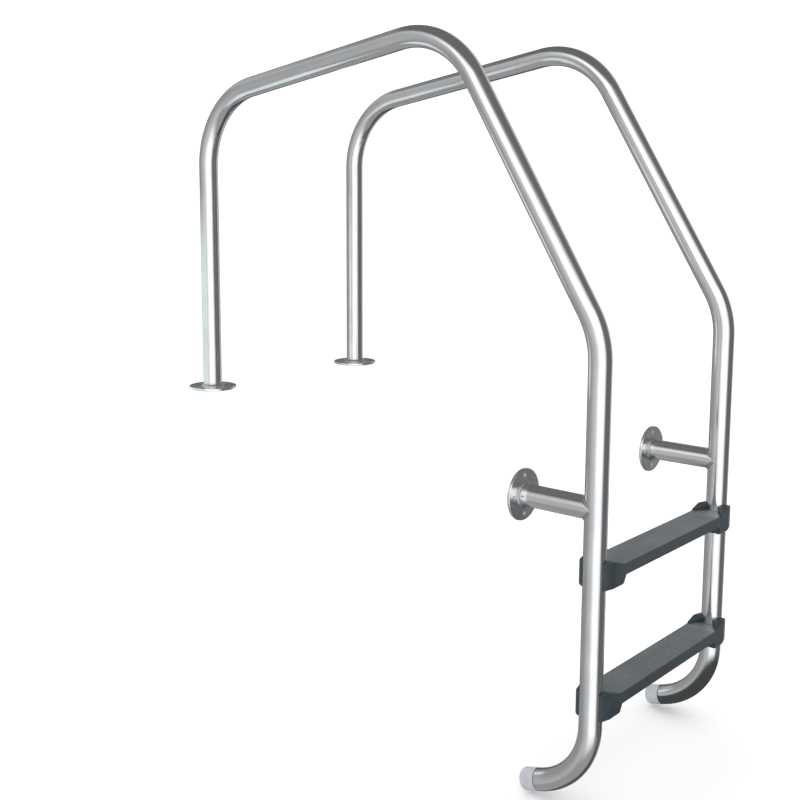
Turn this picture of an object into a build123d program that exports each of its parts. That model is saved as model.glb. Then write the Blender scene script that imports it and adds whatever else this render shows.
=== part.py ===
from build123d import *
from math import cos, radians, sin
import os

# Overflow-pool ladder with two grab rails. Millimetres, +Z up, pool on the -Y side.
# Origin: on the deck, midway between the two deck flanges.

# ---- driving dimensions ----
RAIL_SPACING = 500.0      # between the axes of the two rails
TUBE_D = 43.0             # rail and stand-off tube
TUBE_WALL = 1.5
HOOP_REACH = 1035.0       # deck legs to stiles
LEG_CORNER_Z = 663.0      # where the leg and the handrail would meet without a bend
PEAK_REACH = 690.0        # highest corner, in front of the deck legs
PEAK_Z = 777.0
SHOULDER_Z = 214.0        # where the handrail turns down into the stile
BEND_R = 175.0            # centre-line radius of the three hoop bends
FOOT_START_Z = -514.0     # where the stile starts to bend back to the wall
FOOT_R = 148.0
FOOT_TURN = 75.0          # degrees

DECK_FLANGE_D = 110.0
WALL_FLANGE_D = 100.0
FLANGE_T = 6.0
BOLT_CIRCLE_D = 74.0
BOLT_HOLE_D = 9.0
BOLT_COUNT = 4
WALL_GAP = 160.0          # stile axis to pool wall
STANDOFF_Z = -100.0
WELD_LEG = 4.5
WELD_CROWN = 0.62         # how far a fillet weld bulges, as a share of its leg
SADDLE_BEAD_R = 2.5
FLANGE_EDGE_R = 1.5

BUMPER_LENGTH = 33.0
BUMPER_SPIGOT = 14.0
BUMPER_SPIGOT_D = 38.6
BUMPER_ROUND = 7.0

TREAD_TOP_Z = -207.0      # walking surface of the upper tread
TREAD_PITCH = 250.0
TREAD_DEPTH = 68.0        # front to back
BOARD_T = 22.0
BOARD_EDGE_R = 1.0
BOARD_SKIN = 3.0          # under the mat, and the front and back walls
BOARD_END_WALL = 4.0
RIB_T = 2.5
CELLS_LONG = 8            # hollows between the ribs under the board
CELLS_WIDE = 3
CELL_CORNER_R = 2.0
TONGUE_LENGTH = 26.0      # the board's end that sits in the cap
TONGUE_WIDTH = 60.0
TONGUE_T = 13.0
TONGUE_DROP = 5.0         # walking surface to the tongue's top
MAT_T = 2.5
MAT_WIDTH = 65.0
MAT_TIP = 19.0            # tube axis to the mat's narrow end
MAT_TIP_HALF = 13.0
MAT_NOTCH_R = 22.5
GROOVE_PITCH = 5.0        # grooves along the mat
GROOVE_COUNT = 11
GROOVE_W = 1.6
GROOVE_DEPTH = 0.8

CAP_INNER = 56.0          # tube axis to the cap's inner end
CAP_OUTER = -6.5          # the saddle wraps this far past the tube's axis
CAP_DROP = 40.0           # walking surface to the cap's bottom
CAP_FLAT_END = 46.0       # the bottom is flat this far in, then slants up
CAP_NARROW = 28.3         # half width at the saddle's open end
CAP_SHOULDER = 14.0       # where the cap reaches its full width
CAP_BOTTOM_R = 6.0
HORN_RISE = 11.0          # the horns beside the tube stand this far above the walking surface
HORN_TIP = 50.0           # tube axis to where they have come down to it
HORN_TOE = 1.0            # height of the step that is left there
HORN_EDGE_R = 2.0
SADDLE_CLEARANCE = 0.1
FIT_CLEARANCE = 0.2       # round the tongue and the mat

SCREW_DROP = 30.0         # walking surface to the screw into the rail
SCREW_R = 4.0
SCREW_HEAD_R = 7.0
SCREW_HEAD_H = 4.4
SCREW_HEAD_ROUND = 2.5
SOCKET_R = 2.9            # across the corners of the hexagon socket
SOCKET_DEPTH = 2.6
SCREW_SEAT = 34.0         # tube axis to the washer's seat in the cap
SCREW_TIP = 6.0           # tube axis to the screw's end
SCREW_RECESS_R = 8.25
SCREW_HOLE_R = 4.5
WASHER_R = 8.0
WASHER_HOLE_R = 4.2
WASHER_T = 1.6
NUT_BODY_R = 5.5
NUT_HOLE_R = 5.6          # in the rail's wall
NUT_END = 5.5             # tube axis to the nut's inner end
NUT_FLANGE_R = 6.5
NUT_FLANGE_T = 1.0
NUT_POCKET_R = 7.0        # in the cap, round the nut's flange
NUT_BULGE_R = 6.8         # where setting the nut has swollen it behind the wall
NUT_BULGE_FROM = 14.5
NUT_BULGE_T = 4.0

CAP_SCREW_AT = 42.0       # tube axis to the screws that hold the board
CAP_SCREW_HALF = 20.0
CAP_SCREW_R = 2.1
CAP_SCREW_HOLE_R = 2.5
CAP_SCREW_HEAD_R = 4.0
CAP_SCREW_HEAD_H = 2.6
CAP_SCREW_HEAD_ROUND = 1.2
CROSS_SLOT_LENGTH = 4.0
CROSS_SLOT_W = 0.65
CROSS_SLOT_DEPTH = 1.3
CAP_SCREW_BORE_R = 4.5
CAP_SCREW_SEAT = 24.0     # walking surface to the seat of those screws
CAP_SCREW_TIP = 8.0

# ---- worked out from them ----
HALF_SPACING = RAIL_SPACING / 2
TUBE_R = TUBE_D / 2
BORE_R = TUBE_R - TUBE_WALL
STILE_Y = -HOOP_REACH
WALL_Y = STILE_Y + WALL_GAP
BOARD_HALF = HALF_SPACING - CAP_INNER
CELL_LENGTH = (2 * (BOARD_HALF - BOARD_END_WALL) + RIB_T) / CELLS_LONG - RIB_T
CELL_WIDTH = (TREAD_DEPTH - 2 * BOARD_SKIN + RIB_T) / CELLS_WIDE - RIB_T
FOOT_ANGLE = radians(FOOT_TURN)
FOOT_END_Y = STILE_Y + FOOT_R * (1 - cos(FOOT_ANGLE))
FOOT_END_Z = FOOT_START_Z - FOOT_R * sin(FOOT_ANGLE)
SIDES = {"left": -1, "right": 1}
TREADS = {"upper": TREAD_TOP_Z, "lower": TREAD_TOP_Z - TREAD_PITCH}


def save(name, built):
    """Label a finished piece and write it as its own STEP file."""
    built.part.label = name
    export_step(built.part, f"parts/{name}.step")


# ---- rails and the pieces welded to them ----
def rail(side):
    """One bent tube: deck leg, hoop, stile and foot bend, drilled for the tread nuts."""
    x = side * HALF_SPACING
    with BuildPart() as built:
        with BuildLine(Plane.YZ.offset(x)):
            hoop = FilletPolyline(
                (0, 0),
                (0, LEG_CORNER_Z),
                (-PEAK_REACH, PEAK_Z),
                (STILE_Y, SHOULDER_Z),
                (STILE_Y, FOOT_START_Z),
                radius=BEND_R,
            )
            JernArc(start=hoop @ 1, tangent=hoop % 1, radius=FOOT_R, arc_size=FOOT_TURN)
        with BuildSketch(Plane.XY):
            with Locations((x, 0)):
                Circle(TUBE_R)
                Circle(BORE_R, mode=Mode.SUBTRACT)
        sweep()
        for top in TREADS.values():
            hole = Plane(origin=(x, STILE_Y, top - SCREW_DROP), z_dir=(-side, 0, 0))
            with BuildSketch(hole.offset(TUBE_R / 2)):
                Circle(NUT_HOLE_R)
            extrude(amount=TUBE_R, mode=Mode.SUBTRACT)
    return built


def flange(plane, diameter):
    """Round plate on a mounting plane, whose normal points at the tube it carries."""
    with BuildPart() as built:
        with BuildSketch(plane):
            Circle(diameter / 2)
            Circle(TUBE_R, mode=Mode.SUBTRACT)
            with PolarLocations(BOLT_CIRCLE_D / 2, BOLT_COUNT):
                Circle(BOLT_HOLE_D / 2, mode=Mode.SUBTRACT)
        extrude(amount=FLANGE_T)
        rim = built.edges().filter_by(GeomType.CIRCLE).filter_by(lambda e: e.radius > BOLT_CIRCLE_D / 2)
        fillet(rim, radius=FLANGE_EDGE_R)
    return built


def ring_weld(plane):
    """Fillet weld round the tube, on the front face of its flange."""
    profile = Plane(origin=plane.origin, x_dir=plane.x_dir, z_dir=plane.x_dir.cross(plane.z_dir))
    with BuildPart() as built:
        with BuildSketch(profile):
            with BuildLine():
                foot = (TUBE_R + WELD_LEG, FLANGE_T)
                head = (TUBE_R, FLANGE_T + WELD_LEG)
                crown = (TUBE_R + WELD_LEG * WELD_CROWN, FLANGE_T + WELD_LEG * WELD_CROWN)
                Line((TUBE_R, FLANGE_T), foot)
                ThreePointArc(foot, crown, head)
                Line(head, (TUBE_R, FLANGE_T))
            make_face()
        revolve(axis=Axis(plane.origin, plane.z_dir))
    return built


def standoff(side):
    """Tube from the pool wall to the stile, with its end cut to the stile's outside."""
    wall = Plane(origin=(side * HALF_SPACING, WALL_Y, STANDOFF_Z), x_dir=(1, 0, 0), z_dir=(0, -1, 0))
    with BuildPart() as built:
        with BuildSketch(wall):
            Circle(TUBE_R)
            Circle(BORE_R, mode=Mode.SUBTRACT)
        extrude(amount=WALL_GAP)
        with BuildSketch(Plane.XY.offset(STANDOFF_Z - TUBE_D)):
            with Locations((side * HALF_SPACING, STILE_Y)):
                Circle(TUBE_R)
        extrude(amount=2 * TUBE_D, mode=Mode.SUBTRACT)
    return built


def saddle_weld(side):
    """Bead along the saddle cut: two half ellipses at 45 degrees, above and below the axis."""
    joint = Vector(side * HALF_SPACING, STILE_Y, STANDOFF_Z)
    with BuildPart() as built:
        for up in (1, -1):
            cut = Plane(origin=joint, x_dir=(1, 0, 0), z_dir=(0, -up, 1))
            with BuildLine(cut):
                seam = EllipticalCenterArc((0, 0), TUBE_R, TUBE_R * 2**0.5, start_angle=0, arc_size=180)
            with BuildSketch(Plane(origin=seam @ 0, z_dir=seam % 0)):
                Circle(SADDLE_BEAD_R)
            sweep()
        with Locations(joint + Vector(TUBE_R, 0, 0), joint - Vector(TUBE_R, 0, 0)):
            Sphere(SADDLE_BEAD_R)
        with BuildSketch(Plane.XY.offset(STANDOFF_Z - TUBE_D)):
            with Locations((joint.X, joint.Y)):
                Circle(TUBE_R)
        extrude(amount=2 * TUBE_D, mode=Mode.SUBTRACT)
        with BuildSketch(Plane(origin=joint, x_dir=(1, 0, 0), z_dir=(0, 1, 0)).offset(-TUBE_D)):
            Circle(TUBE_R)
        extrude(amount=2 * TUBE_D, mode=Mode.SUBTRACT)
    return built


def bumper(side):
    """Push-in bumper: a spigot in the tube's bore and a rounded head as wide as the tube."""
    end = Plane(
        origin=(side * HALF_SPACING, FOOT_END_Y, FOOT_END_Z),
        x_dir=(1, 0, 0),
        z_dir=(0, sin(FOOT_ANGLE), -cos(FOOT_ANGLE)),
    )
    with BuildPart() as built:
        with BuildSketch(end):
            Circle(TUBE_R)
        extrude(amount=BUMPER_LENGTH)
        fillet(built.edges().filter_by(GeomType.CIRCLE).sort_by(Axis.Y)[-1], radius=BUMPER_ROUND)
        with BuildSketch(end):
            Circle(BUMPER_SPIGOT_D / 2)
        extrude(amount=-BUMPER_SPIGOT)
    return built


# ---- treads ----
def at(side, inward, back=0.0):
    """Plan position measured from a stile's axis: towards the other stile, and to the wall."""
    return (side * (HALF_SPACING - inward), STILE_Y + back)


def across(side, inward, z):
    """Plane square to X at a distance from the stile's axis, facing the other stile."""
    return Plane(origin=(*at(side, inward), z), x_dir=(0, 1, 0), z_dir=(-side, 0, 0))


def mat_shape(grow):
    """Plan of the mat: narrow ends between the horns, hollowed round both tubes."""
    slope = (HORN_TIP - MAT_TIP) / (TREAD_DEPTH / 2 - MAT_TIP_HALF)
    wide_at = HORN_TIP - slope * (TREAD_DEPTH - MAT_WIDTH) / 2
    half = MAT_WIDTH / 2
    corners = []
    for side, order in ((1, 1), (-1, -1)):
        corners.append(at(side, wide_at, -half * order))
        corners.append(at(side, MAT_TIP, -MAT_TIP_HALF * order))
        corners.append(at(side, MAT_TIP, MAT_TIP_HALF * order))
        corners.append(at(side, wide_at, half * order))
    with BuildSketch() as shape:
        with BuildLine():
            Polyline(*corners, close=True)
        make_face()
        with Locations(at(1, 0), at(-1, 0)):
            Circle(MAT_NOTCH_R, mode=Mode.SUBTRACT)
        if grow > 0:
            offset(amount=grow, kind=Kind.INTERSECTION)
    return shape.sketch


def mat(top):
    """Anti-slip strip, let in flush with the walking surface and grooved along its length."""
    shape = mat_shape(0)
    with BuildPart() as built:
        with BuildSketch(Plane.XY.offset(top - MAT_T)):
            add(shape)
        extrude(amount=MAT_T)
        with BuildSketch(Plane.XY.offset(top - GROOVE_DEPTH)):
            with Locations((0, STILE_Y)):
                with GridLocations(0, GROOVE_PITCH, 1, GROOVE_COUNT):
                    Rectangle(RAIL_SPACING, GROOVE_W)
        extrude(amount=GROOVE_DEPTH, mode=Mode.SUBTRACT)
    return built


def board(top):
    """Moulded step: flat tray for the mat, ribbed hollow underside, a tongue at each end."""
    shape = mat_shape(FIT_CLEARANCE)
    with BuildPart() as built:
        with BuildSketch(Plane.XY.offset(top - BOARD_T)):
            with Locations((0, STILE_Y)):
                Rectangle(2 * BOARD_HALF, TREAD_DEPTH)
        extrude(amount=BOARD_T)
        fillet(built.edges().filter_by(Axis.X), radius=BOARD_EDGE_R)
        with BuildSketch(Plane.XY.offset(top - MAT_T)):
            add(shape)
        extrude(amount=MAT_T, mode=Mode.SUBTRACT)
        with BuildSketch(Plane.XY.offset(top - TONGUE_DROP - TONGUE_T)):
            with Locations((0, STILE_Y)):
                Rectangle(2 * (BOARD_HALF + TONGUE_LENGTH), TONGUE_WIDTH)
        extrude(amount=TONGUE_T)
        with BuildSketch(Plane.XY.offset(top - BOARD_T)):
            with Locations((0, STILE_Y)):
                with GridLocations(CELL_LENGTH + RIB_T, CELL_WIDTH + RIB_T, CELLS_LONG, CELLS_WIDE):
                    RectangleRounded(CELL_LENGTH, CELL_WIDTH, CELL_CORNER_R)
        extrude(amount=BOARD_T - MAT_T - BOARD_SKIN, mode=Mode.SUBTRACT)
        with BuildSketch(Plane.XY.offset(top - BOARD_T)):
            with Locations(*cap_screw_spots()):
                Circle(CAP_SCREW_R)
        extrude(amount=BOARD_T - CAP_SCREW_TIP, mode=Mode.SUBTRACT)
    return built


def cap_screw_spots(sides=(-1, 1)):
    """Plan positions of the screws that hold the board's tongues in the caps."""
    return [at(side, CAP_SCREW_AT, half) for side in sides for half in (-CAP_SCREW_HALF, CAP_SCREW_HALF)]


def cap(side, top):
    """End bracket: saddle round the stile, pocket for the board's tongue, two raised horns."""
    half = TREAD_DEPTH / 2
    tray = mat_shape(FIT_CLEARANCE)
    with BuildPart() as built:
        with BuildSketch(Plane.XY.offset(top - CAP_DROP)):
            with BuildLine():
                Polyline(
                    at(side, CAP_OUTER, -CAP_NARROW),
                    at(side, CAP_SHOULDER, -half),
                    at(side, CAP_INNER, -half),
                    at(side, CAP_INNER, half),
                    at(side, CAP_SHOULDER, half),
                    at(side, CAP_OUTER, CAP_NARROW),
                    close=True,
                )
            make_face()
        extrude(amount=CAP_DROP)
        with BuildSketch(Plane.XZ.offset(-STILE_Y)):
            with BuildLine():
                Polyline(
                    (at(side, CAP_INNER)[0], top - BOARD_T),
                    (at(side, CAP_FLAT_END)[0], top - CAP_DROP),
                    (at(side, CAP_INNER)[0], top - CAP_DROP),
                    close=True,
                )
            make_face()
        extrude(amount=TREAD_DEPTH, both=True, mode=Mode.SUBTRACT)
        floor_edges = built.faces().sort_by(Axis.Z)[0].edges()
        fillet(floor_edges.filter_by(lambda e: abs(e.tangent_at(0).X) > 0.5), radius=CAP_BOTTOM_R)

        # horns
        for back in (-1, 1):
            with BuildSketch(Plane.XY.offset(top)):
                with BuildLine():
                    Polyline(
                        at(side, CAP_OUTER),
                        at(side, CAP_OUTER, back * CAP_NARROW),
                        at(side, CAP_SHOULDER, back * half),
                        at(side, HORN_TIP, back * half),
                        at(side, MAT_TIP, back * MAT_TIP_HALF),
                        at(side, 0),
                        close=True,
                    )
                make_face()
            extrude(amount=HORN_RISE)
        crest = built.faces().sort_by(Axis.Z)[-2:].edges()
        fillet(crest.filter_by(lambda e: abs(e.center().Y - STILE_Y) > CAP_NARROW), radius=HORN_EDGE_R)
        with BuildSketch(Plane.XZ.offset(-STILE_Y)):
            with BuildLine():
                Polyline(
                    (at(side, CAP_SHOULDER)[0], top + HORN_RISE),
                    (at(side, HORN_TIP)[0], top + HORN_TOE),
                    (at(side, HORN_TIP)[0], top + HORN_RISE),
                    close=True,
                )
            make_face()
        extrude(amount=TREAD_DEPTH, both=True, mode=Mode.SUBTRACT)

        # saddle, mat tray and the pocket for the tongue
        with BuildSketch(Plane.XY.offset(top - CAP_DROP)):
            with Locations(at(side, 0)):
                Circle(TUBE_R + SADDLE_CLEARANCE)
        extrude(amount=CAP_DROP + HORN_RISE, mode=Mode.SUBTRACT)
        with BuildSketch(Plane.XY.offset(top - MAT_T)):
            add(tray)
        extrude(amount=MAT_T, mode=Mode.SUBTRACT)
        with BuildSketch(Plane.XY.offset(top - TONGUE_DROP - TONGUE_T - FIT_CLEARANCE)):
            with Locations((0, STILE_Y)):
                Rectangle(
                    2 * (BOARD_HALF + TONGUE_LENGTH + FIT_CLEARANCE),
                    TONGUE_WIDTH + 2 * FIT_CLEARANCE,
                )
        extrude(amount=TONGUE_T + 2 * FIT_CLEARANCE, mode=Mode.SUBTRACT)

        # screw into the rail, with its recess and the pocket for the nut's flange
        screw_z = top - SCREW_DROP
        with BuildSketch(across(side, 0, screw_z)):
            Circle(SCREW_HOLE_R)
        extrude(amount=CAP_INNER, mode=Mode.SUBTRACT)
        with BuildSketch(across(side, SCREW_SEAT, screw_z)):
            Circle(SCREW_RECESS_R)
        extrude(amount=CAP_INNER - SCREW_SEAT, mode=Mode.SUBTRACT)
        with BuildSketch(across(side, 0, screw_z)):
            Circle(NUT_POCKET_R)
        extrude(amount=TUBE_R + NUT_FLANGE_T + FIT_CLEARANCE, mode=Mode.SUBTRACT)

        # screws up into the tongue
        with BuildSketch(Plane.XY.offset(top - CAP_DROP)):
            with Locations(*cap_screw_spots([side])):
                Circle(CAP_SCREW_HOLE_R)
        extrude(amount=CAP_DROP - TONGUE_DROP - TONGUE_T, mode=Mode.SUBTRACT)
        with BuildSketch(Plane.XY.offset(top - CAP_DROP)):
            with Locations(*cap_screw_spots([side])):
                Circle(CAP_SCREW_BORE_R)
        extrude(amount=CAP_DROP - CAP_SCREW_SEAT, mode=Mode.SUBTRACT)
    return built


# ---- fasteners of one tread ----
def screws(top):
    """Button-head screws with a hexagon socket, one from each cap into its rail."""
    with BuildPart() as built:
        for side in SIDES.values():
            under_head = across(side, SCREW_SEAT + WASHER_T, top - SCREW_DROP)
            with BuildSketch(under_head):
                Circle(SCREW_HEAD_R)
            extrude(amount=SCREW_HEAD_H)
            rims = built.edges().filter_by(GeomType.CIRCLE).filter_by(lambda e: e.radius > WASHER_HOLE_R)
            inner = rims.sort_by(lambda e: abs(e.center().X))[0]
            fillet(inner, radius=SCREW_HEAD_ROUND)
            with BuildSketch(under_head.offset(SCREW_HEAD_H - SOCKET_DEPTH)):
                RegularPolygon(SOCKET_R, 6)
            extrude(amount=SOCKET_DEPTH, mode=Mode.SUBTRACT)
            with BuildSketch(under_head):
                Circle(SCREW_R)
            extrude(amount=-(SCREW_SEAT + WASHER_T - SCREW_TIP))
    return built


def washers(top):
    """Flat washers under the screws' heads."""
    with BuildPart() as built:
        for side in SIDES.values():
            with BuildSketch(across(side, SCREW_SEAT, top - SCREW_DROP)):
                Circle(WASHER_R)
                Circle(WASHER_HOLE_R, mode=Mode.SUBTRACT)
            extrude(amount=WASHER_T)
    return built


def rivet_nuts(top):
    """Threaded inserts: flange on the stile's outside, body and set bulge inside it."""
    with BuildPart() as built:
        for side in SIDES.values():
            with BuildSketch(across(side, TUBE_R, top - SCREW_DROP)):
                Circle(NUT_FLANGE_R)
            extrude(amount=NUT_FLANGE_T)
            with BuildSketch(across(side, NUT_END, top - SCREW_DROP)):
                Circle(NUT_BODY_R)
            extrude(amount=TUBE_R - NUT_END)
            with BuildSketch(across(side, NUT_BULGE_FROM, top - SCREW_DROP)):
                Circle(NUT_BULGE_R)
            extrude(amount=NUT_BULGE_T)
            with BuildSketch(across(side, NUT_END, top - SCREW_DROP)):
                Circle(SCREW_R)
            extrude(amount=CAP_INNER - NUT_END, mode=Mode.SUBTRACT)
    return built


def cap_screws(top):
    """Pan-head self-tapping screws, driven up through the caps into the board's tongues."""
    with BuildPart() as built:
        with BuildSketch(Plane.XY.offset(top - CAP_SCREW_SEAT)):
            with Locations(*cap_screw_spots()):
                Circle(CAP_SCREW_HEAD_R)
        extrude(amount=-CAP_SCREW_HEAD_H)
        rims = built.edges().filter_by(GeomType.CIRCLE).group_by(Axis.Z)[0]
        fillet(rims, radius=CAP_SCREW_HEAD_ROUND)
        with BuildSketch(Plane.XY.offset(top - CAP_SCREW_SEAT)):
            with Locations(*cap_screw_spots()):
                Circle(CAP_SCREW_R)
        extrude(amount=CAP_SCREW_SEAT - CAP_SCREW_TIP)
        with BuildSketch(Plane.XY.offset(top - CAP_SCREW_SEAT - CAP_SCREW_HEAD_H)):
            with Locations(*cap_screw_spots()):
                Rectangle(CROSS_SLOT_LENGTH, CROSS_SLOT_W)
                Rectangle(CROSS_SLOT_W, CROSS_SLOT_LENGTH)
        extrude(amount=CROSS_SLOT_DEPTH, mode=Mode.SUBTRACT)
    return built


os.makedirs("parts", exist_ok=True)
for side_name, sign in SIDES.items():
    deck = Plane(origin=(sign * HALF_SPACING, 0, 0), x_dir=(1, 0, 0), z_dir=(0, 0, 1))
    wall = Plane(origin=(sign * HALF_SPACING, WALL_Y, STANDOFF_Z), x_dir=(1, 0, 0), z_dir=(0, -1, 0))
    save(f"rail_{side_name}", rail(sign))
    save(f"deck_flange_{side_name}", flange(deck, DECK_FLANGE_D))
    save(f"deck_weld_{side_name}", ring_weld(deck))
    save(f"wall_flange_{side_name}", flange(wall, WALL_FLANGE_D))
    save(f"wall_weld_{side_name}", ring_weld(wall))
    save(f"wall_standoff_{side_name}", standoff(sign))
    save(f"standoff_weld_{side_name}", saddle_weld(sign))
    save(f"foot_bumper_{side_name}", bumper(sign))
for tread_name, height in TREADS.items():
    save(f"{tread_name}_tread_board", board(height))
    save(f"{tread_name}_tread_mat", mat(height))
    for side_name, sign in SIDES.items():
        save(f"{tread_name}_tread_cap_{side_name}", cap(sign, height))
    save(f"{tread_name}_tread_screws", screws(height))
    save(f"{tread_name}_tread_washers", washers(height))
    save(f"{tread_name}_tread_rivet_nuts", rivet_nuts(height))
    save(f"{tread_name}_tread_cap_screws", cap_screws(height))
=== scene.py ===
from math import cos, pi, radians, sin, sqrt, tan

import bmesh
import bpy
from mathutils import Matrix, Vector

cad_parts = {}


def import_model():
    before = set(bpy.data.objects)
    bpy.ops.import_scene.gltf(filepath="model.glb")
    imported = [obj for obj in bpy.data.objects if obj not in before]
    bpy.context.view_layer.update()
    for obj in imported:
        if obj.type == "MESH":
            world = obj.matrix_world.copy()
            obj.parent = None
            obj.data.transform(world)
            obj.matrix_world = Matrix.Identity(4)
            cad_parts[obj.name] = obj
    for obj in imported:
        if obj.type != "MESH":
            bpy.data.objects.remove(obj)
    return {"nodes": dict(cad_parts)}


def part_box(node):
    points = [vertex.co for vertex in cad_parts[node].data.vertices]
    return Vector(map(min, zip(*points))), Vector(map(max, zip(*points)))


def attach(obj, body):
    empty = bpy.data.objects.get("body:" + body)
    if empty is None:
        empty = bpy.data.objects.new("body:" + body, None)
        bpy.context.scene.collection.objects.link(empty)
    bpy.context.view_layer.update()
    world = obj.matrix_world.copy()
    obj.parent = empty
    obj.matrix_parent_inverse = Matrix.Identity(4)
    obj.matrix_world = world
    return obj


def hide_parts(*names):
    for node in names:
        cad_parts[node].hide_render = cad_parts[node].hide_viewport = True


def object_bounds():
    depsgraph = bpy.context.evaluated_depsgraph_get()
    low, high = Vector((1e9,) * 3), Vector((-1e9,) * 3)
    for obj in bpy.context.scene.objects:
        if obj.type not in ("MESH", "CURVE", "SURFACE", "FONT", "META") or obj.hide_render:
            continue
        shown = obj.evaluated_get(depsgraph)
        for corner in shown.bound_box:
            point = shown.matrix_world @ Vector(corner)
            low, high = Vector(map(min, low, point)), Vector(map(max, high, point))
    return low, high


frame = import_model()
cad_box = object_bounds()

# ---- sizes, in metres, read from the frame ----
SIDES = {"left": -1, "right": 1}
TREADS = ("upper", "lower")
rail_low, rail_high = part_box("rail_right")
deck_low, deck_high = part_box("deck_flange_right")
wall_low, wall_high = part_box("wall_flange_right")
weld_low, weld_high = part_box("deck_weld_right")
TUBE_R = (rail_high.x - rail_low.x) / 2
SPACING_HALF = (rail_high.x + rail_low.x) / 2
LEG_Y = (deck_low.y + deck_high.y) / 2
STILE_Y = rail_low.y + TUBE_R
FLANGE_T = deck_high.z - deck_low.z
WALL_Y = wall_high.y
STANDOFF_Z = (wall_low.z + wall_high.z) / 2
WELD_LEG = weld_high.z - weld_low.z

# ---- the bent tube's route, as the CAD has it ----
TUBE_WALL = 0.0015
LEG_CORNER_Z = 0.663     # where the leg and the handrail would meet without a bend
PEAK_REACH = 0.690       # highest corner, in front of the deck legs
PEAK_Z = 0.777
SHOULDER_Z = 0.214       # where the handrail turns down into the stile
BEND_R = 0.175
FOOT_START_Z = -0.514    # where the stile starts to bend back to the wall
FOOT_R = 0.148
FOOT_TURN = radians(75)
NUT_HOLE_R = 0.0056
SCREW_DROP = 0.030       # mat's top to the axis of the screw into the stile

AROUND = 96              # facets round a tube
STRAIGHT_STEP = 0.012
BEND_STEP = radians(1.5)
STANDOFF_STEPS = 24
DRILL_SIDES = 32


# ---- small helpers ----
def new_piece(name, mesh, node):
    """Link a mesh as a piece that stands for one CAD node."""
    piece = bpy.data.objects.new(name, mesh)
    bpy.context.scene.collection.objects.link(piece)
    for face in mesh.polygons:
        face.use_smooth = True
    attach(piece, "root")
    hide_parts(node)
    return piece


def mesh_of(name, rings):
    """Skin a closed loop of rings of points, each ring as long as the next."""
    mesh = bpy.data.meshes.new(name)
    count = len(rings[0])
    points = [p for ring in rings for p in ring]
    faces = []
    for i in range(len(rings)):
        j = (i + 1) % len(rings)
        for k in range(count):
            m = (k + 1) % count
            faces.append((i * count + k, i * count + m, j * count + m, j * count + k))
    mesh.from_pydata(points, [], faces)
    mesh.update()
    return mesh


def face_outwards(mesh):
    """Make every face look out of the solid."""
    work = bmesh.new()
    work.from_mesh(mesh)
    bmesh.ops.recalc_face_normals(work, faces=work.faces)
    work.to_mesh(mesh)
    work.free()


# ---- node-tree helpers ----
class Tree:
    """Thin wrapper that adds and links shader nodes in one call."""

    def __init__(self, tree):
        self.tree = tree

    def node(self, kind, inputs=None, **settings):
        made = self.tree.nodes.new(kind)
        for key, value in settings.items():
            setattr(made, key, value)
        for key, value in (inputs or {}).items():
            self.feed(made.inputs[key], value)
        return made

    def feed(self, socket, value):
        if isinstance(value, bpy.types.NodeSocket):
            self.tree.links.new(value, socket)
        else:
            socket.default_value = value

    def math(self, operation, *values):
        made = self.node("ShaderNodeMath", operation=operation)
        for socket, value in zip(made.inputs, values):
            self.feed(socket, value)
        return made.outputs[0]

    def vector(self, operation, *values):
        made = self.node("ShaderNodeVectorMath", operation=operation)
        for socket, value in zip(made.inputs, values):
            self.feed(socket, value)
        return made.outputs["Value" if operation in ("LENGTH", "DOT_PRODUCT") else "Vector"]

    def step(self, value, low, high, start=0.0, end=1.0):
        made = self.node("ShaderNodeMapRange", interpolation_type="SMOOTHSTEP")
        for key, given in (("Value", value), ("From Min", low), ("From Max", high),
                           ("To Min", start), ("To Max", end)):
            self.feed(made.inputs[key], given)
        return made.outputs["Result"]

    def noise(self, vector, scale, detail, rough=0.5):
        made = self.node("ShaderNodeTexNoise",
                         {"Vector": vector, "Scale": scale, "Detail": detail, "Roughness": rough})
        return made.outputs["Fac"]

    def blend(self, amount, first, second):
        made = self.node("ShaderNodeMix", data_type="RGBA")
        self.feed(made.inputs["Factor"], amount)
        self.feed(made.inputs["A"], first)
        self.feed(made.inputs["B"], second)
        return made.outputs["Result"]

    def bump(self, height, distance, strength=1.0, normal=None):
        made = self.node("ShaderNodeBump",
                         {"Height": height, "Distance": distance, "Strength": strength})
        if normal is not None:
            self.feed(made.inputs["Normal"], normal)
        return made.outputs["Normal"]


def material(name):
    """A new material: its tree wrapper and its shader."""
    made = bpy.data.materials.new(name)
    made.use_nodes = True
    tree = Tree(made.node_tree)
    shader = made.node_tree.nodes["Principled BSDF"]
    return made, tree, shader


# ---- tubes ----
class Route:
    """Stations along a bent tube that lies in one YZ plane: point, direction, length so far."""

    def __init__(self, start, direction):
        self.stations = [(Vector(start), Vector(direction).normalized(), 0.0)]

    def straight(self, length):
        point, direction, done = self.stations[-1]
        steps = max(1, round(length / STRAIGHT_STEP))
        for i in range(1, steps + 1):
            part = length * i / steps
            self.stations.append((point + direction * part, direction, done + part))

    def bend(self, radius, turn):
        """Turn by an angle, positive turning +Y towards +Z."""
        point, direction, done = self.stations[-1]
        side = Vector((0, -direction.z, direction.y)) * (1 if turn > 0 else -1)
        centre = point + side * radius
        steps = max(2, round(abs(turn) / BEND_STEP))
        for i in range(1, steps + 1):
            angle = abs(turn) * i / steps
            out = -side * cos(angle) + direction * sin(angle)
            ahead = direction * cos(angle) + side * sin(angle)
            self.stations.append((centre + out * radius, ahead, done + radius * angle))


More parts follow.
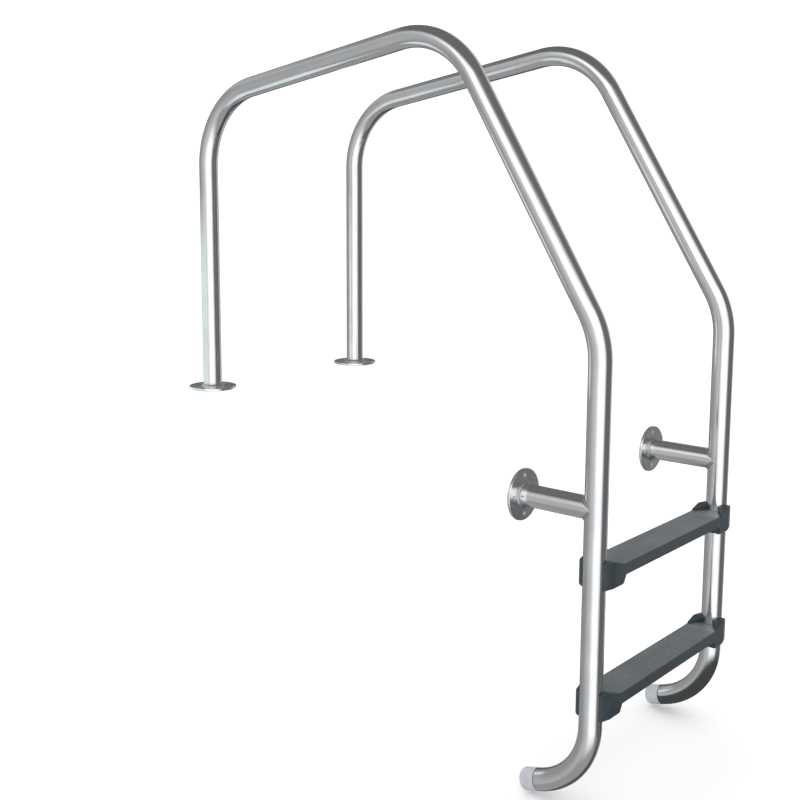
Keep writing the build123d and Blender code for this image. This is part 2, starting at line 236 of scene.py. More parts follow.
def rail_route():
    """Deck leg, three hoop bends, stile and foot bend, in the plane X = 0."""
    corners = [
        Vector((0, LEG_Y, 0)),
        Vector((0, LEG_Y, LEG_CORNER_Z)),
        Vector((0, LEG_Y - PEAK_REACH, PEAK_Z)),
        Vector((0, STILE_Y, SHOULDER_Z)),
        Vector((0, STILE_Y, FOOT_START_Z)),
    ]
    route = Route(corners[0], (0, 0, 1))
    used = 0.0
    for before, corner, after in zip(corners, corners[1:], corners[2:]):
        into = (corner - before).normalized()
        out = (after - corner).normalized()
        turn = into.angle(out)
        tangent = BEND_R * tan(turn / 2)
        route.straight((corner - before).length - used - tangent)
        route.bend(BEND_R, turn)
        used = tangent
    route.straight((corners[4] - corners[3]).length - used)
    route.bend(FOOT_R, FOOT_TURN)
    return route


def finish_tube(mesh, unbent):
    """Turn the faces outwards, and store each point's place on the unbent tube, along its Z. The
    steel's grain follows that."""
    store = mesh.attributes.new("tube_space", "FLOAT_VECTOR", "POINT")
    for i, value in enumerate(unbent):
        store.data[i].vector = value
    face_outwards(mesh)
    return mesh


def tube_mesh(name, x, route):
    """Tube wall with its bore, bent along the route."""
    circle = [(cos(2 * pi * k / AROUND), sin(2 * pi * k / AROUND)) for k in range(AROUND)]
    rings, unbent = [], []
    walls = [(TUBE_R, route.stations), (TUBE_R - TUBE_WALL, route.stations[::-1])]
    for radius, stations in walls:
        for point, direction, done in stations:
            across = Vector((0, -direction.z, direction.y))
            centre = point + Vector((x, 0, 0))
            rings.append([centre + Vector((c * radius, 0, 0)) + across * (s * radius)
                          for c, s in circle])
            unbent += [(c * radius, s * radius, done) for c, s in circle]
    return finish_tube(mesh_of(name, rings), unbent)


def drill(piece, centres, radius, depth):
    """Cut round holes along X, with cutters that are thrown away afterwards."""
    cutters = bpy.data.meshes.new("cutters")
    work = bmesh.new()
    for centre in centres:
        ends = []
        angles = [2 * pi * k / DRILL_SIDES for k in range(DRILL_SIDES)]
        for end in (-depth / 2, depth / 2):
            ring = [(end, radius * cos(angle), radius * sin(angle)) for angle in angles]
            ends.append([work.verts.new(centre + Vector(p)) for p in ring])
        for k in range(DRILL_SIDES):
            m = (k + 1) % DRILL_SIDES
            work.faces.new((ends[0][k], ends[0][m], ends[1][m], ends[1][k]))
        work.faces.new(ends[0])
        work.faces.new(ends[1])
    bmesh.ops.recalc_face_normals(work, faces=work.faces)
    work.to_mesh(cutters)
    work.free()
    cutter = bpy.data.objects.new("cutters", cutters)
    bpy.context.scene.collection.objects.link(cutter)
    cut = piece.modifiers.new("holes", "BOOLEAN")
    cut.operation = "DIFFERENCE"
    cut.object = cutter
    graph = bpy.context.evaluated_depsgraph_get()
    drilled = bpy.data.meshes.new_from_object(
        piece.evaluated_get(graph), preserve_all_data_layers=True, depsgraph=graph
    )
    piece.modifiers.remove(cut)
    piece.data = drilled
    bpy.data.objects.remove(cutter)


def rails():
    """The two bent tubes, drilled for the nuts that the treads are screwed to."""
    route = rail_route()
    made = []
    for side, sign in SIDES.items():
        x = sign * SPACING_HALF
        name = f"rail_{side}_tube"
        piece = new_piece(name, tube_mesh(name, x, route), f"rail_{side}")
        inner_wall = x - sign * (TUBE_R - TUBE_WALL / 2)
        heights = [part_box(f"{tread}_tread_mat")[1].z - SCREW_DROP for tread in TREADS]
        drill(piece, [Vector((inner_wall, STILE_Y, z)) for z in heights], NUT_HOLE_R, TUBE_R / 2)
        made.append(piece)
    return made


def standoffs():
    """Tubes from the wall to the stiles, their far ends cut to the stile's round."""
    outwards = range(STANDOFF_STEPS + 1)
    made = []
    for side, sign in SIDES.items():
        name = f"wall_standoff_{side}_tube"
        rings, unbent = [], []
        for radius, order in ((TUBE_R, outwards), (TUBE_R - TUBE_WALL, reversed(outwards))):
            for i in order:
                ring = []
                for k in range(AROUND):
                    c = cos(2 * pi * k / AROUND) * radius
                    s = sin(2 * pi * k / AROUND) * radius
                    saddle = STILE_Y + sqrt(max(TUBE_R**2 - c * c, 0))
                    y = WALL_Y + (saddle - WALL_Y) * i / STANDOFF_STEPS
                    ring.append(Vector((sign * SPACING_HALF + c, y, STANDOFF_Z + s)))
                    unbent.append((c, s, WALL_Y - y))
                rings.append(ring)
        mesh = finish_tube(mesh_of(name, rings), unbent)
        made.append(new_piece(name, mesh, f"wall_standoff_{side}"))
    return made


# ---- weld beads ----
RIPPLE = 0.0024          # pitch of the ripples left by each dab of filler
RIPPLE_DEPTH = 0.11      # share of the bead's size
RIPPLE_CREST = 0.6       # under 1, the crests are round and the valleys sharp
RIPPLE_BOW = 0.22        # how far a ripple is bowed in the bead's middle, in ripples
BEAD_WANDER = 0.05       # how unevenly the bead is laid, as a share of its size
BEAD_FLATNESS = 1.25     # 1 is a full round bead, more is flatter
BEAD_SAMPLES = 5         # rings to a ripple
BEAD_PROFILE = 14        # points across the bead
SEAM_LENGTH = 1.25       # of the saddle cut, as a share of the tube's girth
SEAM_BACK = 0.6          # how far the saddle bead keeps off the cut's two sharp ends
SEAM_SINK = 0.1          # how far it is sunk towards the stile, both in bead radii
SEAM_LEAN = 0.35         # how far its ripples lean towards the wall


def ripple(turns, skew):
    """Height factor of a bead: rounded crests with sharp valleys. The skew curves them across it."""
    return 1 - RIPPLE_DEPTH * (1 - abs(sin(pi * (turns + skew))) ** RIPPLE_CREST)


def ring_weld(name, node, centre, axis, across):
    """Rippled fillet weld in the corner between a tube and its flange."""
    third = axis.cross(across)
    count = round(2 * pi * TUBE_R / RIPPLE)
    around = count * BEAD_SAMPLES
    rings = []
    for i in range(around):
        angle = 2 * pi * i / around
        out = across * cos(angle) + third * sin(angle)
        wander = 1 - BEAD_WANDER * (1 + sin(3 * angle + 0.7) * sin(7 * angle))
        ring = [centre + out * TUBE_R + axis * FLANGE_T]
        for k in range(BEAD_PROFILE):
            lean = pi / 2 * k / (BEAD_PROFILE - 1)
            skew = RIPPLE_BOW * sin(2 * lean)
            size = WELD_LEG * wander * ripple(count * angle / (2 * pi), skew)
            foot = size * max(cos(lean), 0) ** BEAD_FLATNESS
            rise = size * sin(lean) ** BEAD_FLATNESS
            ring.append(centre + out * (TUBE_R + foot) + axis * (FLANGE_T + rise))
        rings.append(ring)
    mesh = mesh_of(name, rings)
    face_outwards(mesh)
    return new_piece(name, mesh, node)


def saddle_weld(name, node, x):
    """Rippled bead along the saddle cut, a closed loop with a blunt turn at each side of the tube."""
    bead_r = (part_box(node)[1].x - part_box(node)[0].x) / 2 - TUBE_R
    count = round(2 * pi * TUBE_R * SEAM_LENGTH / RIPPLE)
    around = count * BEAD_SAMPLES

    def seam(angle):
        up = TUBE_R * sin(angle)
        back = sqrt(up * up + (bead_r * SEAM_BACK) ** 2) - bead_r * SEAM_SINK
        return Vector((x + TUBE_R * cos(angle), STILE_Y + back, STANDOFF_Z + up))

    profile = [2 * pi * k / BEAD_PROFILE for k in range(BEAD_PROFILE)]
    rings = []
    for i in range(around):
        angle = 2 * pi * i / around
        here = seam(angle)
        ahead = (seam(angle + 0.01) - seam(angle - 0.01)).normalized()
        out = Vector((cos(angle), SEAM_LEAN, sin(angle)))
        out = (out - ahead * out.dot(ahead)).normalized()
        side = ahead.cross(out)
        size = bead_r * ripple(count * angle / (2 * pi), 0)
        rings.append([here + out * (size * cos(lean)) + side * (size * sin(lean)) for lean in profile])
    mesh = mesh_of(name, rings)
    face_outwards(mesh)
    return new_piece(name, mesh, node)


def welds():
    """Each side has a ring on both of its flanges, and one bead round the stand-off's cut."""
    made = []
    for side, sign in SIDES.items():
        x = sign * SPACING_HALF
        deck = Vector((x, LEG_Y, 0))
        wall = Vector((x, WALL_Y, STANDOFF_Z))
        across = Vector((1, 0, 0))
        up, to_pool = Vector((0, 0, 1)), Vector((0, -1, 0))
        made.append(ring_weld(f"deck_weld_{side}_bead", f"deck_weld_{side}", deck, up, across))
        made.append(ring_weld(f"wall_weld_{side}_bead", f"wall_weld_{side}", wall, to_pool, across))
        made.append(saddle_weld(f"standoff_weld_{side}_bead", f"standoff_weld_{side}", x))
    return made


# ---- anti-slip mats ----
MAT_TIP = 0.019          # tube axis to the mat's narrow end
MAT_TIP_HALF = 0.013
MAT_NOTCH_R = 0.0225
MAT_TAPER_END = 0.050    # where the slanted ends would reach the tread's full width
TREAD_HALF = 0.034
RIDGE_PITCH = 0.005
RIDGE_GROOVE = 0.0016
RIDGE_DEPTH = 0.0008
RIDGE_CROWN = 0.16       # fall from a ridge's middle to its edge, as a share of the depth
MAT_EDGE_R = 0.0006
MAT_ROWS = 260
MAT_COLUMNS = 90


def mat_reach(v):
    """How near the mat comes to the tube's axis, at an offset v from the tread's middle line."""
    v = abs(v)
    if v < sqrt(MAT_NOTCH_R**2 - MAT_TIP**2):
        return sqrt(MAT_NOTCH_R**2 - v * v)
    if v < MAT_TIP_HALF:
        return MAT_TIP
    return MAT_TIP + (v - MAT_TIP_HALF) * (MAT_TAPER_END - MAT_TIP) / (TREAD_HALF - MAT_TIP_HALF)


def ridge_depth(v):
    """Depth below the walking surface: rounded grooves between crowned ridges."""
    from_groove = abs((v / RIDGE_PITCH + 0.5) % 1 - 0.5) * RIDGE_PITCH
    groove = max(0.0, 1 - (from_groove / (RIDGE_GROOVE / 2)) ** 2) ** 0.5
    crown = ((from_groove - RIDGE_PITCH / 2) / (RIDGE_PITCH / 2)) ** 2
    return RIDGE_DEPTH * max(groove, RIDGE_CROWN * crown)


def mats():
    """Grooved strips: rows run along the tread, and each row ends where the plan says."""
    made = []
    for tread in TREADS:
        low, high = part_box(f"{tread}_tread_mat")
        name = f"{tread}_tread_mat_ribbed"
        half = (high.y - low.y) / 2
        top, bottom = [], []
        for i in range(MAT_ROWS + 1):
            v = -half + 2 * half * i / MAT_ROWS
            reach = SPACING_HALF - mat_reach(v)
            inset = min(1.0, (half - abs(v)) / MAT_EDGE_R)
            z = high.z - ridge_depth(v) - MAT_EDGE_R * (1 - sqrt(1 - (1 - inset) ** 2))
            xs = [reach * (2 * j / MAT_COLUMNS - 1) for j in range(MAT_COLUMNS + 1)]
            top.append([Vector((x, STILE_Y + v, z)) for x in xs])
            bottom.append([Vector((x, STILE_Y + v, low.z)) for x in xs])
        work = bmesh.new()
        grids = [[[work.verts.new(p) for p in row] for row in grid] for grid in (top, bottom)]
        for grid in grids:
            for i in range(MAT_ROWS):
                for j in range(MAT_COLUMNS):
                    work.faces.new((grid[i][j], grid[i][j + 1], grid[i + 1][j + 1], grid[i + 1][j]))
        upper, lower = grids
        for i in range(MAT_ROWS):
            for j in (0, MAT_COLUMNS):
                work.faces.new((upper[i][j], upper[i + 1][j], lower[i + 1][j], lower[i][j]))
        for j in range(MAT_COLUMNS):
            for i in (0, MAT_ROWS):
                work.faces.new((upper[i][j], upper[i][j + 1], lower[i][j + 1], lower[i][j]))
        bmesh.ops.recalc_face_normals(work, faces=work.faces)
        mesh = bpy.data.meshes.new(name)
        work.to_mesh(mesh)
        work.free()
        piece = new_piece(name, mesh, f"{tread}_tread_mat")
        mesh.set_sharp_from_angle(angle=radians(50))
        made.append(piece)
    return made


# ---- materials ----
HEAT_REACH = 0.010       # how far heat colours spread from a weld's toe
WORN_FROM = 0.075        # tube axis to where the mat starts to be worn smooth
WORN_FULLY = 0.045


def position(tree):
    """The point's own coordinates, which are the frame's, because pieces have no transform."""
    return tree.node("ShaderNodeTexCoord").outputs["Object"]


def heat_near_welds(tree):
    """1 at a weld's toe, fading to 0 about a centimetre away, on the tubes and flanges."""
    split = tree.node("ShaderNodeSeparateXYZ", {"Vector": position(tree)})
    y, z = split.outputs["Y"], split.outputs["Z"]
    back = tree.math("SUBTRACT", y, STILE_Y)
    height = tree.math("ABSOLUTE", tree.math("SUBTRACT", z, STANDOFF_Z))
    seam = tree.math("ABSOLUTE", tree.math("SUBTRACT", back, height))
    near_seam = tree.step(seam, 0.002, HEAT_REACH + 0.001, 1.0, 0.0)
    near_seam = tree.math("MULTIPLY", near_seam, tree.step(back, 0.0, 0.004))
    near_seam = tree.math("MULTIPLY", near_seam, tree.step(height, 0.024, 0.030, 1.0, 0.0))
    to_wall = tree.math("ABSOLUTE", tree.math("SUBTRACT", y, WALL_Y - FLANGE_T - WELD_LEG))
    near_wall = tree.step(to_wall, 0.001, HEAT_REACH, 1.0, 0.0)
    near_wall = tree.math("MULTIPLY", near_wall, tree.step(height, 0.040, 0.050, 1.0, 0.0))
    to_deck = tree.math("ABSOLUTE", tree.math("SUBTRACT", z, FLANGE_T + WELD_LEG))
    near_deck = tree.step(to_deck, 0.001, HEAT_REACH, 1.0, 0.0)
    near_deck = tree.math("MULTIPLY", near_deck, tree.step(y, LEG_Y - 0.060, LEG_Y - 0.055))
    return tree.math("MAXIMUM", near_seam, tree.math("MAXIMUM", near_wall, near_deck))


def steel_colour(tree, clean, heat, where):
    """Clean steel, with straw and brown heat colours that fade from the weld."""
    patchy = tree.math("MULTIPLY", heat, tree.step(tree.noise(where, 160.0, 3.0), 0.3, 0.7, 0.5, 1.0))
    straw = tree.blend(tree.math("MULTIPLY", patchy, 0.22), clean, (0.66, 0.58, 0.44, 1))
    brown = tree.step(patchy, 0.6, 1.0, 0.0, 0.25)
    return tree.blend(brown, straw, (0.36, 0.34, 0.34, 1))


def tube_steel():
    """Polished stainless tube: faint polishing lines round it, soft waviness, handled patches."""
    made, tree, shader = material("polished_tube")
    space = tree.node("ShaderNodeAttribute", attribute_name="tube_space").outputs["Vector"]
    lines = tree.noise(tree.vector("MULTIPLY", space, (30.0, 30.0, 2600.0)), 1.0, 3.0)
    scratches = tree.noise(tree.vector("MULTIPLY", space, (420.0, 420.0, 9.0)), 1.0, 2.0, 0.6)
    waves = tree.noise(tree.vector("MULTIPLY", space, (26.0, 26.0, 7.0)), 1.0, 2.0, 0.4)
    patches = tree.noise(tree.vector("MULTIPLY", space, (34.0, 34.0, 16.0)), 1.0, 5.0, 0.6)
    heat = heat_near_welds(tree)
    clean = tree.blend(tree.step(patches, 0.35, 0.7), (0.735, 0.735, 0.730, 1), (0.665, 0.672, 0.680, 1))
    tree.feed(shader.inputs["Base Color"], steel_colour(tree, clean, heat, space))
    shader.inputs["Metallic"].default_value = 1.0
    shader.inputs["Anisotropic"].default_value = 0.25
    rough = tree.step(patches, 0.3, 0.75, 0.115, 0.19)
    rough = tree.math("ADD", rough, tree.step(scratches, 0.62, 0.75, 0.0, 0.07))
    rough = tree.math("ADD", rough, tree.math("MULTIPLY", heat, 0.10))
    tree.feed(shader.inputs["Roughness"], rough)
    wavy = tree.bump(waves, 0.00035)
    fine = tree.bump(lines, 0.0000025, normal=wavy)
    tree.feed(shader.inputs["Normal"], tree.bump(scratches, 0.000004, normal=fine))
    return made


def turned_steel(name, centre, axis):
    """Flange faced on a lathe: fine rings about its centre, on both faces and the rim."""
    made, tree, shader = material(name)
    offset = tree.vector("SUBTRACT", position(tree), centre)
    flat = (1.0, 1.0, 0.0) if axis == "Z" else (1.0, 0.0, 1.0)
    radius = tree.vector("LENGTH", tree.vector("MULTIPLY", offset, flat))
    spin = tree.node("ShaderNodeCombineXYZ", {"X": tree.math("MULTIPLY", radius, 2400.0),
                                              "Y": tree.math("MULTIPLY", radius, 310.0)}).outputs[0]
    rings = tree.noise(spin, 1.0, 3.0, 0.6)
    patches = tree.noise(offset, 45.0, 5.0, 0.6)
    specks = tree.noise(offset, 900.0, 2.0)
    heat = heat_near_welds(tree)
    clean = tree.blend(tree.step(patches, 0.35, 0.7), (0.84, 0.87, 0.90, 1), (0.72, 0.75, 0.78, 1))
    tree.feed(shader.inputs["Base Color"], steel_colour(tree, clean, heat, offset))
    shader.inputs["Metallic"].default_value = 1.0
    shader.inputs["Anisotropic"].default_value = 0.8
    shader.inputs["Anisotropic Rotation"].default_value = 0.25
    tangent = tree.node("ShaderNodeTangent", direction_type="RADIAL", axis=axis)
    tree.feed(shader.inputs["Tangent"], tangent.outputs["Tangent"])
    rough = tree.step(rings, 0.3, 0.7, 0.22, 0.32)
    tree.feed(shader.inputs["Roughness"], tree.math("ADD", rough, tree.step(specks, 0.6, 0.8, 0.0, 0.1)))
    tree.feed(shader.inputs["Normal"], tree.bump(rings, 0.000012))
    return made


def weld_steel():
    """Brushed weld bead: dull, with smoky straw and grey patches."""
    made, tree, shader = material("weld_bead")
    where = position(tree)
    smoke = tree.noise(where, 210.0, 4.0, 0.6)
    grain = tree.noise(where, 2600.0, 3.0, 0.6)
    warm = tree.blend(tree.step(smoke, 0.35, 0.7), (0.54, 0.54, 0.54, 1), (0.44, 0.43, 0.41, 1))
    dark = tree.step(grain, 0.6, 0.8, 0.0, 0.5)
    tree.feed(shader.inputs["Base Color"], tree.blend(dark, warm, (0.25, 0.24, 0.24, 1)))
    shader.inputs["Metallic"].default_value = 1.0
    tree.feed(shader.inputs["Roughness"], tree.step(grain, 0.2, 0.8, 0.36, 0.52))
    tree.feed(shader.inputs["Normal"], tree.bump(grain, 0.00002))
    return made


def fastener_steel():
    """Cold-formed stainless fasteners with a satin, slightly scuffed finish."""
    made, tree, shader = material("satin_fastener")
    where = position(tree)
    scuffs = tree.noise(where, 700.0, 4.0, 0.65)
    patches = tree.noise(where, 120.0, 3.0)
    tree.feed(shader.inputs["Base Color"],
              tree.blend(tree.step(patches, 0.3, 0.7), (0.66, 0.66, 0.65, 1), (0.52, 0.52, 0.53, 1)))
    shader.inputs["Metallic"].default_value = 1.0
    tree.feed(shader.inputs["Roughness"], tree.step(scuffs, 0.3, 0.75, 0.20, 0.38))
    tree.feed(shader.inputs["Normal"], tree.bump(scuffs, 0.000012))
    return made


def black_plastic():
    """Spark-textured black moulding: even grain, rubbed a little paler in patches."""
    made, tree, shader = material("black_moulding")
    where = position(tree)
    grain = tree.noise(where, 2200.0, 2.0, 0.5)
    coarse = tree.noise(where, 700.0, 2.0, 0.5)
    cloud = tree.noise(where, 28.0, 5.0, 0.65)
    dust = tree.step(tree.noise(where, 480.0, 4.0, 0.7), 0.58, 0.75)
    edges = tree.node("ShaderNodeNewGeometry").outputs["Pointiness"]
    base = tree.blend(tree.step(cloud, 0.35, 0.7), (0.016, 0.029, 0.037, 1), (0.025, 0.040, 0.050, 1))
    base = tree.blend(tree.math("MULTIPLY", dust, 0.10), base, (0.16, 0.16, 0.155, 1))
    base = tree.blend(tree.step(edges, 0.52, 0.62, 0.0, 0.25), base, (0.075, 0.080, 0.085, 1))
    tree.feed(shader.inputs["Base Color"], base)
    rough = tree.step(cloud, 0.3, 0.7, 0.38, 0.50)
    tree.feed(shader.inputs["Roughness"], tree.math("ADD", rough, tree.math("MULTIPLY", dust, 0.1)))
    shader.inputs["IOR"].default_value = 1.5
    rounded = tree.node("ShaderNodeBevel", {"Radius": 0.0007}, samples=4).outputs["Normal"]
    bumped = tree.bump(coarse, 0.00004, 0.6, rounded)
    tree.feed(shader.inputs["Normal"], tree.bump(grain, 0.00003, 0.6, bumped))
    return made


def mat_rubber():
    """Grey anti-slip rubber: fine speckle and cloudy wear, worn smooth at both ends."""
    made, tree, shader = material("grey_mat")
    where = position(tree)
    speckle = tree.noise(where, 1800.0, 3.0, 0.7)
    cloud = tree.noise(tree.vector("MULTIPLY", where, (9.0, 22.0, 22.0)), 1.0, 5.0, 0.6)
    base = tree.blend(tree.step(cloud, 0.3, 0.7), (0.112, 0.130, 0.140, 1), (0.152, 0.172, 0.184, 1))
    base = tree.blend(tree.step(speckle, 0.35, 0.7, 0.0, 0.35), base, (0.078, 0.092, 0.100, 1))
    tree.feed(shader.inputs["Base Color"], base)
    along = tree.math("ABSOLUTE", tree.node("ShaderNodeSeparateXYZ", {"Vector": where}).outputs["X"])
    polish = tree.step(along, SPACING_HALF - WORN_FROM, SPACING_HALF - WORN_FULLY, 1.0, 0.3)
    rough = tree.step(cloud, 0.3, 0.7, 0.40, 0.55)
    tree.feed(shader.inputs["Roughness"], tree.math("MULTIPLY", rough, polish))
    shader.inputs["IOR"].default_value = 1.5
    tree.feed(shader.inputs["Normal"], tree.bump(speckle, 0.00004, 0.7))
    return made


def bumper_rubber():
    """Pale soft plastic, a little translucent, scuffed at the nose."""
    made, tree, shader = material("pale_bumper")
    where = position(tree)
    cloud = tree.noise(where, 60.0, 4.0, 0.6)
    scuff = tree.noise(tree.vector("MULTIPLY", where, (300.0, 900.0, 300.0)), 1.0, 4.0, 0.7)
    base = tree.blend(tree.step(cloud, 0.3, 0.7), (0.50, 0.52, 0.55, 1), (0.42, 0.44, 0.47, 1))
    base = tree.blend(tree.step(scuff, 0.58, 0.75, 0.0, 0.4), base, (0.30, 0.30, 0.32, 1))
    tree.feed(shader.inputs["Base Color"], base)
    tree.feed(shader.inputs["Roughness"], tree.step(scuff, 0.3, 0.7, 0.34, 0.52))
    shader.inputs["Subsurface Weight"].default_value = 0.15
    shader.inputs["Subsurface Radius"].default_value = (0.004, 0.004, 0.004)
    tree.feed(shader.inputs["Normal"], tree.bump(scuff, 0.00003, 0.5))
    return made


def dress(obj, finish):
    """Give a piece or a CAD node one material."""
    obj.data.materials.clear()
    obj.data.materials.append(finish)


def finishes(tubes, beads, strips):
    """Dress the new pieces, and the CAD nodes that are shown as they are."""
    nodes = frame["nodes"]
    tube = tube_steel()
    bead = weld_steel()
    fastener = fastener_steel()
    plastic = black_plastic()
    rubber = mat_rubber()
    bumper = bumper_rubber()
    for piece in tubes:
        dress(piece, tube)
    for piece in beads:
        dress(piece, bead)
    for piece in strips:
        dress(piece, rubber)
    for side, sign in SIDES.items():
        x = sign * SPACING_HALF
        deck_steel = turned_steel(f"turned_deck_{side}", (x, LEG_Y, 0), "Z")
        wall_steel = turned_steel(f"turned_wall_{side}", (x, WALL_Y, STANDOFF_Z), "Y")
        dress(nodes[f"deck_flange_{side}"], deck_steel)
        dress(nodes[f"wall_flange_{side}"], wall_steel)
        dress(nodes[f"foot_bumper_{side}"], bumper)
        for tread in TREADS:
            dress(nodes[f"{tread}_tread_cap_{side}"], plastic)
    for tread in TREADS:
        dress(nodes[f"{tread}_tread_board"], plastic)
        for kind in ("screws", "washers", "rivet_nuts", "cap_screws"):
            dress(nodes[f"{tread}_tread_{kind}"], fastener)


# ---- studio ----
CAMERA_AT = (-2.0594, -2.0826, 0.4919)
CAMERA_YAW = 0.852       # from +Y towards +X
CAMERA_PITCH = -0.145
LENS = 52.93
SHIFT = (0.0347, -0.0643)
FLOOR_GAP = 0.004        # under the feet
FLOOR_Z = cad_box[0].z - FLOOR_GAP
FLOOR_HALF = 60.0
SOFT_LIGHT = 1.25        # white all round, for the camera and for diffuse light
ROOF_LEVEL = 0.16        # what reflections see overhead
SQUARE = ((-1, -1), (1, -1), (1, 1), (-1, 1))
CARD_AWAY = 0.22         # from the left deck leg
CARD_HALF = 0.25
CARD_LOW = -0.10
CARD_HEIGHT = 0.60
CARD_SOLID = 0.35        # it fades from this far up to its top
CARD_GLOW = 1.05
DARK_CARD_HALF = 0.38    # under the right foot
DARK_CARD_SOLID = 0.20   # it fades from this far out to its edge
DARK_CARD_LIFT = 0.005
DARK_CARD_GLOW = 0.08


def camera():
    """In the pool to the left of the ladder, above its middle, looking slightly down."""
    level = cos(CAMERA_PITCH)
    ahead = Vector((level * sin(CAMERA_YAW), level * cos(CAMERA_YAW), sin(CAMERA_PITCH)))
    data = bpy.data.cameras.new("camera")
    data.sensor_width = 36.0
    data.lens = LENS
    data.shift_x, data.shift_y = SHIFT
    data.clip_end = 200.0
    made = bpy.data.objects.new("camera", data)
    made.location = CAMERA_AT
    made.rotation_mode = "QUATERNION"
    made.rotation_quaternion = ahead.to_track_quat("-Z", "Y")
    bpy.context.scene.collection.objects.link(made)
    bpy.context.scene.camera = made


def floor():
    """Pale matt floor just under the feet. Reflections leave it out and see the studio's ground."""
    mesh = bpy.data.meshes.new("floor")
    corners = [(x * FLOOR_HALF, y * FLOOR_HALF, FLOOR_Z) for x, y in SQUARE]
    mesh.from_pydata(corners, [], [(0, 1, 2, 3)])
    made = bpy.data.objects.new("floor", mesh)
    bpy.context.scene.collection.objects.link(made)
    finish, tree, shader = material("pale_floor")
    shade = tree.noise(position(tree), 3.0, 3.0)
    pale = tree.blend(shade, (0.93, 0.93, 0.93, 1), (0.95, 0.95, 0.95, 1))
    tree.feed(shader.inputs["Base Color"], pale)
    shader.inputs["Roughness"].default_value = 0.9
    shader.inputs["Specular IOR Level"].default_value = 0.0
    mesh.materials.append(finish)
    made.visible_glossy = False


def reflector(name, corners, glow, centre, mask, solid, gone):
    """Studio card seen only in reflections. It fades out between two distances from its centre,
    measured along the directions that the mask keeps."""
    mesh = bpy.data.meshes.new(name)
    mesh.from_pydata(corners, [], [(0, 1, 2, 3)])
    made = bpy.data.objects.new(name, mesh)
    bpy.context.scene.collection.objects.link(made)
    finish, tree, shader = material(name)
    offset = tree.vector("SUBTRACT", position(tree), centre)
    away = tree.vector("LENGTH", tree.vector("MULTIPLY", offset, mask))
    shader.inputs["Base Color"].default_value = (0.0, 0.0, 0.0, 1.0)
    shader.inputs["Specular IOR Level"].default_value = 0.0
    shader.inputs["Emission Color"].default_value = (0.90, 0.97, 1.0, 1.0)
    shader.inputs["Emission Strength"].default_value = glow
    tree.feed(shader.inputs["Alpha"], tree.step(away, solid, gone, 1.0, 0.0))
    mesh.materials.append(finish)
    made.visible_camera = False
    made.visible_diffuse = False
    made.visible_shadow = False


def cards():
    """A pale card beside the left deck leg, and a dark one on the floor under the right foot."""
    to_left = Vector((-cos(CAMERA_YAW), sin(CAMERA_YAW), 0))
    ahead = Vector((sin(CAMERA_YAW), cos(CAMERA_YAW), 0))
    foot = Vector((-SPACING_HALF, LEG_Y, CARD_LOW)) + to_left * CARD_AWAY
    upright = []
    for along, up in SQUARE:
        rise = CARD_HEIGHT * (up + 1) / 2
        upright.append(foot + ahead * (along * CARD_HALF) + Vector((0, 0, rise)))
    reflector("pale_card", upright, CARD_GLOW, foot, (0, 0, 1), CARD_SOLID, CARD_HEIGHT)
    under = Vector((SPACING_HALF, STILE_Y, FLOOR_Z + DARK_CARD_LIFT))
    flat = [under + Vector((across, along, 0)) * DARK_CARD_HALF for across, along in SQUARE]
    reflector("dark_card", flat, DARK_CARD_GLOW, under, (1, 1, 0), DARK_CARD_SOLID, DARK_CARD_HALF)


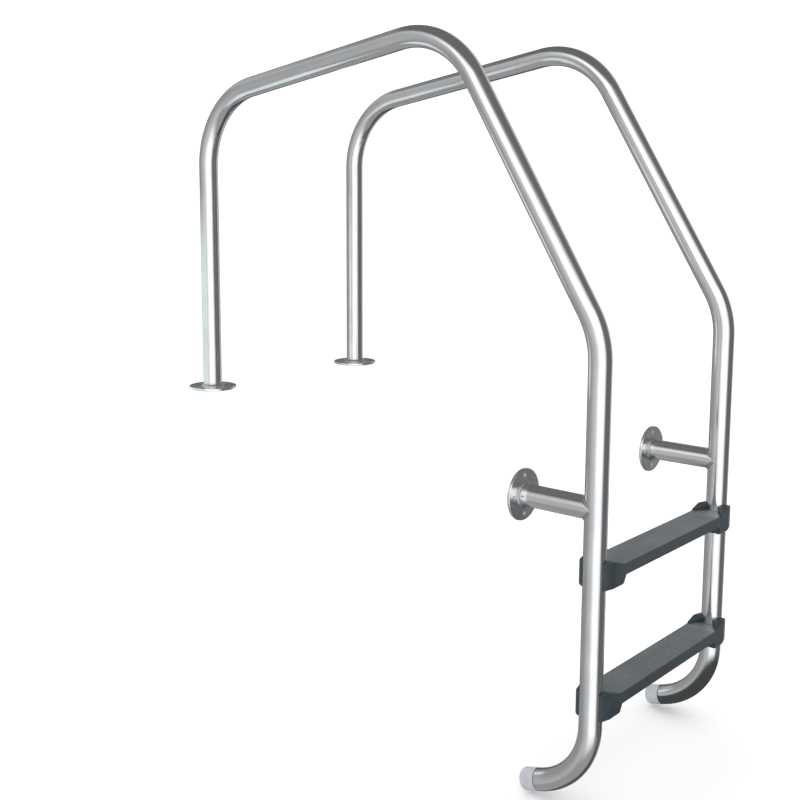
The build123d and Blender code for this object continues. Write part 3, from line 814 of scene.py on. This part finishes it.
def world():
    """White all round for soft light. Reflections see a studio instead, laid out by two angles:
    turn, round from the camera's side and positive to its right, and lift above the horizon."""
    made = bpy.data.worlds.new("studio")
    bpy.context.scene.world = made
    made.use_nodes = True
    tree = Tree(made.node_tree)
    made.node_tree.nodes.clear()
    where = tree.node("ShaderNodeTexCoord").outputs["Generated"]
    to_screen = (-sin(CAMERA_YAW), -cos(CAMERA_YAW), 0.0)
    to_right = (cos(CAMERA_YAW), -sin(CAMERA_YAW), 0.0)
    turn = tree.math("ARCTAN2", tree.vector("DOT_PRODUCT", where, to_right),
                     tree.vector("DOT_PRODUCT", where, to_screen))
    height = tree.node("ShaderNodeSeparateXYZ", {"Vector": where}).outputs["Z"]
    lift = tree.math("ARCSINE", height)

    def ramp(angle, low, high, start, end):
        return tree.step(angle, radians(low), radians(high), start, end)

    def band(angle, low, high, soft):
        rise = ramp(angle, low - soft, low + soft, 0.0, 1.0)
        return tree.math("MULTIPLY", rise, ramp(angle, high - soft, high + soft, 1.0, 0.0))

    def add_panel(surround, panel, level):
        return tree.math("ADD", surround, tree.math("MULTIPLY", panel, level))

    # grey screens on the left, darker towards the back, and dark drapes on the right
    grey = ramp(turn, -115, -35, 0.36, 0.75)
    grey = tree.math("MULTIPLY", grey, ramp(turn, -175, -145, 0.35, 1.0))
    sides = tree.math("MULTIPLY", grey, ramp(turn, 35, 55, 1.0, 0.22))
    # a bright screen behind the camera, a softbox high on its left, and a strip far round on
    # each side, the left one high up
    sides = add_panel(sides, band(turn, -28, 38, 18), 0.75)
    softbox = tree.math("MULTIPLY", band(lift, 14, 36, 8), band(turn, -70, -14, 12))
    sides = add_panel(sides, softbox, 0.8)
    sides = add_panel(sides, band(turn, 120, 164, 10), 0.46)
    high_strip = tree.math("MULTIPLY", band(lift, 24, 40, 5), band(turn, -150, -80, 15))
    sides = add_panel(sides, high_strip, 0.16)
    # the walls end below the horizon, where a grey ground takes over, darker on the right
    sides = tree.math("MULTIPLY", sides, ramp(lift, -55, -25, 0.2, 1.0))
    ground = ramp(lift, -40, -14, 0.40, 0.0)
    ground = tree.math("MULTIPLY", ground, ramp(turn, 50, 100, 1.0, 0.2))
    sides = tree.math("MAXIMUM", sides, ground)
    # a dark roof
    roof = ramp(lift, 34, 50, 0.0, 1.0)
    walls = tree.math("MULTIPLY", sides, tree.math("SUBTRACT", 1.0, roof))
    seen = add_panel(walls, roof, ROOF_LEVEL)

    tint = tree.node("ShaderNodeCombineColor", {
        "Red": seen,
        "Green": tree.math("MULTIPLY", seen, 1.01),
        "Blue": tree.math("MULTIPLY", seen, 1.03),
    }).outputs[0]
    glossy = tree.node("ShaderNodeLightPath").outputs["Is Glossy Ray"]
    colour = tree.blend(glossy, (SOFT_LIGHT, SOFT_LIGHT, SOFT_LIGHT, 1), tint)
    background = tree.node("ShaderNodeBackground", {"Color": colour})
    output = tree.node("ShaderNodeOutputWorld")
    tree.feed(output.inputs["Surface"], background.outputs[0])


camera()
floor()
cards()
world()
bpy.context.scene.view_settings.view_transform = "Standard"

tubes = rails() + standoffs()
beads = welds()
strips = mats()
finishes(tubes, beads, strips)
